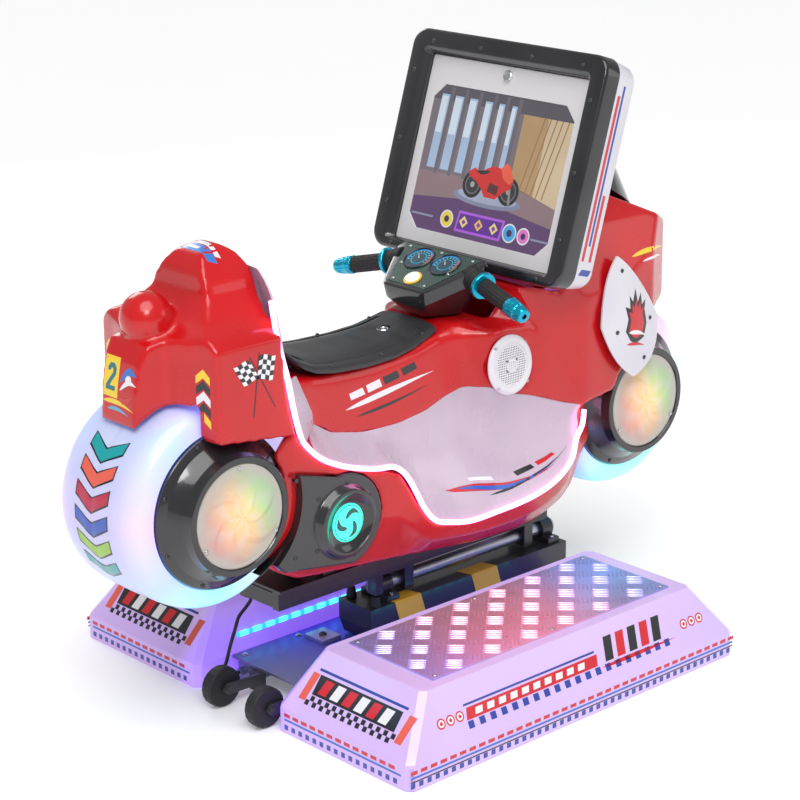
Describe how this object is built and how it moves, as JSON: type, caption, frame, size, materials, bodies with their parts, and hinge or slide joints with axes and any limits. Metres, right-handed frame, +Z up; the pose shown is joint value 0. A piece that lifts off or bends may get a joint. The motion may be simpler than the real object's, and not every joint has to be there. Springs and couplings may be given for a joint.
{
  "type": "sitdown racing cabinet",
  "caption": "Motorcycle-shaped coin-operated ride with a tilted video screen, which leans on a motor-driven pivot between two lit step platforms.",
  "frame": {"origin": "on the floor, below the centre of the machine's bounding box", "axes": "+X the way the rider faces, +Y the rider's left, +Z up"},
  "size_m": [1.462, 0.9746, 1.1959],
  "materials": {
    "platform_glow": "translucent plastic lit lavender from inside",
    "tread_plate": "five-bar tread plate, satin",
    "bare_steel": "bare satin steel",
    "black_steel": "black semi-gloss paint",
    "rubber": "matt moulded rubber",
    "cable_jacket": "matt black cable sheath",
    "tyre_glow": "milky translucent plastic lit from inside",
    "hub_black": "gloss black",
    "fan_lens": "frosted lens lit from inside",
    "seat_black": "satin black moulded plastic",
    "lock_chrome": "polished",
    "gloss_black": "gloss black",
    "speaker_white": "semi-gloss white",
    "red_plastic": "gloss red moulded plastic",
    "white_glow": "milky white, lit from inside",
    "neon": "pink light strip",
    "smoked_shield": "dark smoked sheet",
    "door_sheet": "grey-white satin paint",
    "monitor_black": "flat display with a dark case",
    "circuit_board": "green circuit board",
    "button_white": "lit white push button"
  },
  "bodies": {
    "base": {"platform_left": "platform_glow", "platform_right": "platform_glow", "tread_plate_left": "tread_plate", "tread_plate_right": "tread_plate", "base_frame": "bare_steel", "pedestal_beam": "black_steel", "bearing_rear": "black_steel", "bearing_front": "black_steel", "rubber_stop_left": "rubber", "rubber_stop_right": "rubber", "gear_motor": "black_steel", "caster_bracket_left": "black_steel", "caster_bracket_right": "black_steel", "signal_cable": "cable_jacket"},
    "caster_left": {"caster_wheel_left": "rubber"},
    "caster_right": {"caster_wheel_right": "rubber"},
    "bike": {"pivot_shaft": "bare_steel", "chassis": "black_steel", "rear_tyre": "tyre_glow", "rear_hub_left": "hub_black", "rear_hub_right": "hub_black", "rear_fan_left": "fan_lens", "rear_fan_right": "fan_lens", "front_tyre": "tyre_glow", "front_hub_left": "hub_black", "front_hub_right": "hub_black", "front_fan_left": "fan_lens", "front_fan_right": "fan_lens", "seat_frame": "seat_black", "arm_cover_left": "gloss_black", "arm_cover_right": "gloss_black", "speaker_left": "speaker_white", "speaker_right": "speaker_white", "tail_cowl": "red_plastic", "back_rest": "white_glow", "body_shell": "red_plastic", "side_panel_left": "white_glow", "side_panel_right": "white_glow", "neon_strip_left": "neon", "neon_strip_right": "neon", "front_fairing": "red_plastic", "front_cowl_left": "white_glow", "front_cowl_right": "white_glow", "windshield": "smoked_shield", "screen_frame": "gloss_black", "screen_shell": "white_glow", "game_board": "circuit_board"},
    "crank": {"motor_crank": "bare_steel"},
    "rod": {"connecting_rod": "bare_steel"},
    "steering": {"console_body": "gloss_black", "handlebar": "bare_steel", "grip_left": "rubber"},
    "throttle": {"grip_right": "rubber"},
    "button": {"start_button": "button_white"},
    "service_door": {"screen_door": "door_sheet", "monitor": "monitor_black"},
    "lock": {"door_lock": "lock_chrome"},
    "lid": {"seat_lid": "seat_black"},
    "seat_key": {"seat_lock": "lock_chrome"}
  },
  "joints": [
    {"name": "lean", "type": "hinge", "parent": "base", "child": "bike", "pos_m": [0, 0, 0.153], "axis": [1, 0, 0], "range_deg": [-7, 7], "deforming": ["signal_cable"]},
    {"name": "caster_left_roll", "type": "hinge", "parent": "base", "child": "caster_left", "pos_m": [-0.428, 0.034, 0.04], "axis": [0, 1, 0], "continuous": true},
    {"name": "caster_right_roll", "type": "hinge", "parent": "base", "child": "caster_right", "pos_m": [-0.428, -0.095, 0.04], "axis": [0, 1, 0], "continuous": true},
    {"name": "crank_turn", "type": "hinge", "parent": "base", "child": "crank", "pos_m": [0.054, 0.0814, 0.105], "axis": [1, 0, 0], "range_deg": [-57, 57]},
    {"name": "rod_swing", "type": "hinge", "parent": "crank", "child": "rod", "pos_m": [0.043, 0.0954, 0.105], "axis": [1, 0, 0], "range_deg": [-54, 54]},
    {"name": "steer", "type": "hinge", "parent": "bike", "child": "steering", "pos_m": [0.095, 0, 0.75], "axis": [0, 0, 1], "range_deg": [-12, 12]},
    {"name": "throttle_twist", "type": "hinge", "parent": "steering", "child": "throttle", "pos_m": [0.106, -0.136, 0.763], "axis": [-0.1566, -0.961, -0.2278], "range_deg": [0, 60], "stiffness_Nm_per_rad": 0.5, "springref_deg": -17.19},
    {"name": "start_press", "type": "slide", "parent": "steering", "child": "button", "axis": [0.4224, 0, -0.9064], "range_m": [0, 0.003], "stiffness_N_per_m": 600, "springref_m": -0.002},
    {"name": "service_door_hinge", "type": "hinge", "parent": "bike", "child": "service_door", "pos_m": [0.2028, 0, 0.783], "axis": [0, -1, 0], "range_deg": [0, 60]},
    {"name": "door_lock_turn", "type": "hinge", "parent": "service_door", "child": "lock", "pos_m": [0.3093, 0, 1.1249], "axis": [0.9547, 0, -0.2974], "range_deg": [0, 90]},
    {"name": "seat_lid_hinge", "type": "hinge", "parent": "bike", "child": "lid", "pos_m": [-0.293, 0, 0.6895], "axis": [0, -1, 0], "range_deg": [0, 70]},
    {"name": "seat_lock_turn", "type": "hinge", "parent": "lid", "child": "seat_key", "pos_m": [-0.031, 0, 0.66], "axis": [0, 0, 1], "range_deg": [0, 90]}
  ],
  "couplings": [
    {"joint": "crank_turn", "follows": "lean", "ratio": 8},
    {"joint": "rod_swing", "follows": "lean", "ratio": -7.5}
  ]
}
